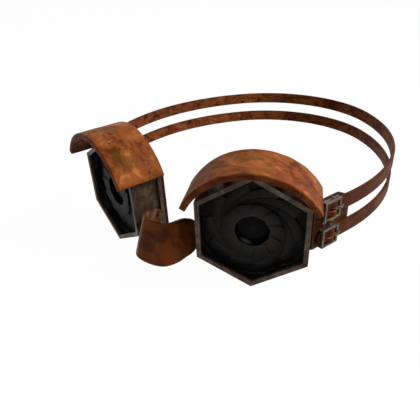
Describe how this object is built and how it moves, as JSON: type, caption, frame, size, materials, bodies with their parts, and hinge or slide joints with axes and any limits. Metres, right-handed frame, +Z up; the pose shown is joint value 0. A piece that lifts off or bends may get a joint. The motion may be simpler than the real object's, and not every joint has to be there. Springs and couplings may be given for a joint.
{
  "type": "steampunk goggles",
  "caption": "Steampunk goggles: two hexagonal steel eye cups with leather hoods and lever-worked iris shutters, a leather nose bridge, and paired head straps with side buckles",
  "frame": {"origin": "Midway between the centres of the two cups' front faces, a nose datum on the mirror plane", "axes": "+X to the viewer's right (the wearer's left), +Y back towards the wearer's head, +Z up; millimetres in the source, metres here"},
  "size_m": [0.1888, 0.2234, 0.0758],
  "materials": {
    "cup_steel": "worn",
    "iris_steel": "satin",
    "brass": "aged",
    "lens_glass": "dark tint",
    "orange_leather": "mottled",
    "brown_leather": "aged",
    "gasket_leather": "matte",
    "strap_leather": "aged",
    "buckle_steel": "worn"
  },
  "bodies": {
    "goggles": {"housing_right": "cup_steel", "bezel_right": "cup_steel", "lens_cell_right": "cup_steel", "base_plate_right": "iris_steel", "lens_right": "lens_glass", "lens_retainer_right": "brass", "face_gasket_right": "gasket_leather", "hood_right": "orange_leather", "hood_former_right": "cup_steel", "side_bracket_right": "cup_steel", "side_tab_right": "brown_leather", "housing_left": "cup_steel", "bezel_left": "cup_steel", "lens_cell_left": "cup_steel", "base_plate_left": "iris_steel", "lens_left": "lens_glass", "lens_retainer_left": "brass", "face_gasket_left": "gasket_leather", "hood_left": "orange_leather", "hood_former_left": "cup_steel", "side_bracket_left": "cup_steel", "side_tab_left": "brown_leather", "nose_bridge": "brown_leather", "bridge_rivets": "buckle_steel", "hood_screws": "buckle_steel", "bracket_screws": "buckle_steel", "tab_rivets": "brass", "strap_rivets": "brass", "upper_strap": "strap_leather", "lower_strap": "strap_leather", "buckle_frame_upper": "buckle_steel", "buckle_frame_lower": "buckle_steel", "buckle_pin_upper": "buckle_steel", "buckle_pin_lower": "buckle_steel", "chape_upper": "brown_leather", "chape_lower": "brown_leather"},
    "cam_ring_body_right": {"cam_ring_right": "iris_steel"},
    "blade_body_right_1": {"iris_blade_right_1": "iris_steel"},
    "blade_body_right_2": {"iris_blade_right_2": "iris_steel"},
    "blade_body_right_3": {"iris_blade_right_3": "iris_steel"},
    "blade_body_right_4": {"iris_blade_right_4": "iris_steel"},
    "blade_body_right_5": {"iris_blade_right_5": "iris_steel"},
    "blade_body_right_6": {"iris_blade_right_6": "iris_steel"},
    "blade_body_right_7": {"iris_blade_right_7": "iris_steel"},
    "blade_body_right_8": {"iris_blade_right_8": "iris_steel"},
    "blade_body_right_9": {"iris_blade_right_9": "iris_steel"},
    "blade_body_right_10": {"iris_blade_right_10": "iris_steel"},
    "cam_ring_body_left": {"cam_ring_left": "iris_steel"},
    "blade_body_left_1": {"iris_blade_left_1": "iris_steel"},
    "blade_body_left_2": {"iris_blade_left_2": "iris_steel"},
    "blade_body_left_3": {"iris_blade_left_3": "iris_steel"},
    "blade_body_left_4": {"iris_blade_left_4": "iris_steel"},
    "blade_body_left_5": {"iris_blade_left_5": "iris_steel"},
    "blade_body_left_6": {"iris_blade_left_6": "iris_steel"},
    "blade_body_left_7": {"iris_blade_left_7": "iris_steel"},
    "blade_body_left_8": {"iris_blade_left_8": "iris_steel"},
    "blade_body_left_9": {"iris_blade_left_9": "iris_steel"},
    "blade_body_left_10": {"iris_blade_left_10": "iris_steel"},
    "prong_body_upper": {"prong_upper": "buckle_steel"},
    "prong_body_lower": {"prong_lower": "buckle_steel"}
  },
  "joints": [
    {"name": "iris_lever_right", "type": "hinge", "parent": "goggles", "child": "cam_ring_body_right", "pos_m": [0.04567, 0.00721, 0.00027], "axis": [0.3647, -0.9305, -0.0349], "range_deg": [-4, 8]},
    {"name": "blade_turn_right_1", "type": "hinge", "parent": "goggles", "child": "blade_body_right_1", "pos_m": [0.06394, 0.01379, -0.01736], "axis": [0.3647, -0.9305, -0.0349], "range_deg": [-24, 12]},
    {"name": "blade_turn_right_2", "type": "hinge", "parent": "goggles", "child": "blade_body_right_2", "pos_m": [0.07031, 0.01574, -0.0026], "axis": [0.3647, -0.9305, -0.0349], "range_deg": [-24, 12]},
    {"name": "blade_turn_right_3", "type": "hinge", "parent": "goggles", "child": "blade_body_right_3", "pos_m": [0.06743, 0.01401, 0.01324], "axis": [0.3647, -0.9305, -0.0349], "range_deg": [-24, 12]},
    {"name": "blade_turn_right_4", "type": "hinge", "parent": "goggles", "child": "blade_body_right_4", "pos_m": [0.0564, 0.00928, 0.02411], "axis": [0.3647, -0.9305, -0.0349], "range_deg": [-24, 12]},
    {"name": "blade_turn_right_5", "type": "hinge", "parent": "goggles", "child": "blade_body_right_5", "pos_m": [0.04143, 0.00335, 0.02586], "axis": [0.3647, -0.9305, -0.0349], "range_deg": [-24, 12]},
    {"name": "blade_turn_right_6", "type": "hinge", "parent": "goggles", "child": "blade_body_right_6", "pos_m": [0.02825, -0.00151, 0.01782], "axis": [0.3647, -0.9305, -0.0349], "range_deg": [-24, 12]},
    {"name": "blade_turn_right_7", "type": "hinge", "parent": "goggles", "child": "blade_body_right_7", "pos_m": [0.02188, -0.00346, 0.00306], "axis": [0.3647, -0.9305, -0.0349], "range_deg": [-24, 12]},
    {"name": "blade_turn_right_8", "type": "hinge", "parent": "goggles", "child": "blade_body_right_8", "pos_m": [0.02476, -0.00173, -0.01278], "axis": [0.3647, -0.9305, -0.0349], "range_deg": [-24, 12]},
    {"name": "blade_turn_right_9", "type": "hinge", "parent": "goggles", "child": "blade_body_right_9", "pos_m": [0.03579, 0.003, -0.02365], "axis": [0.3647, -0.9305, -0.0349], "range_deg": [-24, 12]},
    {"name": "blade_turn_right_10", "type": "hinge", "parent": "goggles", "child": "blade_body_right_10", "pos_m": [0.05076, 0.00893, -0.0254], "axis": [0.3647, -0.9305, -0.0349], "range_deg": [-24, 12]},
    {"name": "iris_lever_left", "type": "hinge", "parent": "goggles", "child": "cam_ring_body_left", "pos_m": [-0.04567, 0.00721, 0.00027], "axis": [0.3647, 0.9305, 0.0349], "range_deg": [-4, 8]},
    {"name": "blade_turn_left_1", "type": "hinge", "parent": "goggles", "child": "blade_body_left_1", "pos_m": [-0.06394, 0.01379, -0.01736], "axis": [0.3647, 0.9305, 0.0349], "range_deg": [-24, 12]},
    {"name": "blade_turn_left_2", "type": "hinge", "parent": "goggles", "child": "blade_body_left_2", "pos_m": [-0.07031, 0.01574, -0.0026], "axis": [0.3647, 0.9305, 0.0349], "range_deg": [-24, 12]},
    {"name": "blade_turn_left_3", "type": "hinge", "parent": "goggles", "child": "blade_body_left_3", "pos_m": [-0.06743, 0.01401, 0.01324], "axis": [0.3647, 0.9305, 0.0349], "range_deg": [-24, 12]},
    {"name": "blade_turn_left_4", "type": "hinge", "parent": "goggles", "child": "blade_body_left_4", "pos_m": [-0.0564, 0.00928, 0.02411], "axis": [0.3647, 0.9305, 0.0349], "range_deg": [-24, 12]},
    {"name": "blade_turn_left_5", "type": "hinge", "parent": "goggles", "child": "blade_body_left_5", "pos_m": [-0.04143, 0.00335, 0.02586], "axis": [0.3647, 0.9305, 0.0349], "range_deg": [-24, 12]},
    {"name": "blade_turn_left_6", "type": "hinge", "parent": "goggles", "child": "blade_body_left_6", "pos_m": [-0.02825, -0.00151, 0.01782], "axis": [0.3647, 0.9305, 0.0349], "range_deg": [-24, 12]},
    {"name": "blade_turn_left_7", "type": "hinge", "parent": "goggles", "child": "blade_body_left_7", "pos_m": [-0.02188, -0.00346, 0.00306], "axis": [0.3647, 0.9305, 0.0349], "range_deg": [-24, 12]},
    {"name": "blade_turn_left_8", "type": "hinge", "parent": "goggles", "child": "blade_body_left_8", "pos_m": [-0.02476, -0.00173, -0.01278], "axis": [0.3647, 0.9305, 0.0349], "range_deg": [-24, 12]},
    {"name": "blade_turn_left_9", "type": "hinge", "parent": "goggles", "child": "blade_body_left_9", "pos_m": [-0.03579, 0.003, -0.02365], "axis": [0.3647, 0.9305, 0.0349], "range_deg": [-24, 12]},
    {"name": "blade_turn_left_10", "type": "hinge", "parent": "goggles", "child": "blade_body_left_10", "pos_m": [-0.05076, 0.00893, -0.0254], "axis": [0.3647, 0.9305, 0.0349], "range_deg": [-24, 12]},
    {"name": "prong_hinge_upper", "type": "hinge", "parent": "goggles", "child": "prong_body_upper", "pos_m": [0.08082, 0.02511, 0.0132], "axis": [0, 0, -1], "range_deg": [0, 95]},
    {"name": "prong_hinge_lower", "type": "hinge", "parent": "goggles", "child": "prong_body_lower", "pos_m": [0.08082, 0.02511, -0.0025], "axis": [0, 0, -1], "range_deg": [0, 95]}
  ],
  "couplings": [
    {"joint": "blade_turn_right_1", "follows": "iris_lever_right", "ratio": -3},
    {"joint": "blade_turn_right_2", "follows": "iris_lever_right", "ratio": -3},
    {"joint": "blade_turn_right_3", "follows": "iris_lever_right", "ratio": -3},
    {"joint": "blade_turn_right_4", "follows": "iris_lever_right", "ratio": -3},
    {"joint": "blade_turn_right_5", "follows": "iris_lever_right", "ratio": -3},
    {"joint": "blade_turn_right_6", "follows": "iris_lever_right", "ratio": -3},
    {"joint": "blade_turn_right_7", "follows": "iris_lever_right", "ratio": -3},
    {"joint": "blade_turn_right_8", "follows": "iris_lever_right", "ratio": -3},
    {"joint": "blade_turn_right_9", "follows": "iris_lever_right", "ratio": -3},
    {"joint": "blade_turn_right_10", "follows": "iris_lever_right", "ratio": -3},
    {"joint": "blade_turn_left_1", "follows": "iris_lever_left", "ratio": -3},
    {"joint": "blade_turn_left_2", "follows": "iris_lever_left", "ratio": -3},
    {"joint": "blade_turn_left_3", "follows": "iris_lever_left", "ratio": -3},
    {"joint": "blade_turn_left_4", "follows": "iris_lever_left", "ratio": -3},
    {"joint": "blade_turn_left_5", "follows": "iris_lever_left", "ratio": -3},
    {"joint": "blade_turn_left_6", "follows": "iris_lever_left", "ratio": -3},
    {"joint": "blade_turn_left_7", "follows": "iris_lever_left", "ratio": -3},
    {"joint": "blade_turn_left_8", "follows": "iris_lever_left", "ratio": -3},
    {"joint": "blade_turn_left_9", "follows": "iris_lever_left", "ratio": -3},
    {"joint": "blade_turn_left_10", "follows": "iris_lever_left", "ratio": -3}
  ]
}
